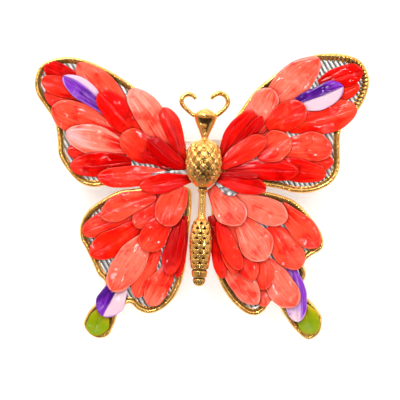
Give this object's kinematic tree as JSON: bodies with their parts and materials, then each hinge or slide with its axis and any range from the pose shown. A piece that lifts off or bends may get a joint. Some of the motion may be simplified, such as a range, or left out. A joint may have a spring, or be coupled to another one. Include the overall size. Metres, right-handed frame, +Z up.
{
  "type": "butterfly brooch",
  "caption": "Butterfly brooch with lacquered petals laid like shingles on ribbed, gold-rimmed wings, a cast body with curled antennae, and a pin with a turning safety catch.",
  "frame": {"origin": "centre of the brooch's bounding box, on the line of its body", "axes": "+X to the wearer's left, along the span of the wings, +Y back through the garment, +Z up towards the head"},
  "size_m": [0.0702, 0.0106, 0.0598],
  "materials": {
    "gold": "polished gold plating on a cast alloy",
    "silver": "fine ribs, bright",
    "steel": "satin nickel",
    "petal_red": "real petal under clear lacquer",
    "petal_deep_red": "real petal under clear lacquer",
    "petal_coral": "real petal under clear lacquer",
    "petal_light_coral": "real petal under clear lacquer",
    "petal_purple": "real petal under clear lacquer",
    "petal_cream": "real petal under clear lacquer",
    "petal_green": "real petal under clear lacquer"
  },
  "bodies": {
    "brooch": {"forewing_left_plate": "silver", "forewing_left_rim": "gold", "forewing_right_plate": "silver", "forewing_right_rim": "gold", "hindwing_left_plate": "silver", "hindwing_left_rim": "gold", "hindwing_right_plate": "silver", "hindwing_right_rim": "gold", "body": "gold", "antenna_left": "gold", "antenna_right": "gold", "pin_bar": "steel", "pin_joint": "steel", "joint_rivet": "steel", "catch_housing": "steel", "petal_hindwing_left_01": "petal_green", "petal_hindwing_left_02": "petal_cream", "petal_hindwing_left_03": "petal_coral", "petal_hindwing_left_04": "petal_red", "petal_hindwing_left_05": "petal_light_coral", "petal_hindwing_left_06": "petal_deep_red", "petal_hindwing_left_07": "petal_red", "petal_hindwing_left_08": "petal_coral", "petal_hindwing_left_09": "petal_coral", "petal_hindwing_right_01": "petal_green", "petal_hindwing_right_02": "petal_cream", "petal_hindwing_right_03": "petal_coral", "petal_hindwing_right_04": "petal_coral", "petal_hindwing_right_05": "petal_coral", "petal_hindwing_right_06": "petal_red", "petal_hindwing_right_07": "petal_light_coral", "petal_hindwing_right_08": "petal_coral", "petal_hindwing_right_09": "petal_deep_red", "petal_hindwing_right_10": "petal_light_coral", "petal_forewing_left_01": "petal_red", "petal_forewing_left_02": "petal_coral", "petal_forewing_left_03": "petal_coral", "petal_forewing_left_04": "petal_purple", "petal_forewing_left_05": "petal_red", "petal_forewing_left_06": "petal_cream", "petal_forewing_left_07": "petal_red", "petal_forewing_left_08": "petal_red", "petal_forewing_left_09": "petal_light_coral", "petal_forewing_left_10": "petal_coral", "petal_forewing_left_11": "petal_deep_red", "petal_forewing_left_12": "petal_red", "petal_forewing_right_01": "petal_coral", "petal_forewing_right_02": "petal_red", "petal_forewing_right_03": "petal_coral", "petal_forewing_right_04": "petal_purple", "petal_forewing_right_05": "petal_coral", "petal_forewing_right_06": "petal_red", "petal_forewing_right_07": "petal_red", "petal_forewing_right_08": "petal_red", "petal_forewing_right_09": "petal_coral", "petal_forewing_right_10": "petal_deep_red", "petal_forewing_right_11": "petal_red", "petal_forewing_right_12": "petal_red"},
    "pin": {"pin_stem": "steel"},
    "lock": {"catch_rotor": "steel"}
  },
  "joints": [
    {"name": "pin_hinge", "type": "hinge", "parent": "brooch", "child": "pin", "pos_m": [-0.0155, 0.0035, 0.0107], "axis": [0, 0, 1], "range_deg": [0, 100]},
    {"name": "lock_turn", "type": "hinge", "parent": "brooch", "child": "lock", "pos_m": [0.015, 0.0035, 0.0107], "axis": [-1, 0, 0], "range_deg": [0, 100]}
  ]
}
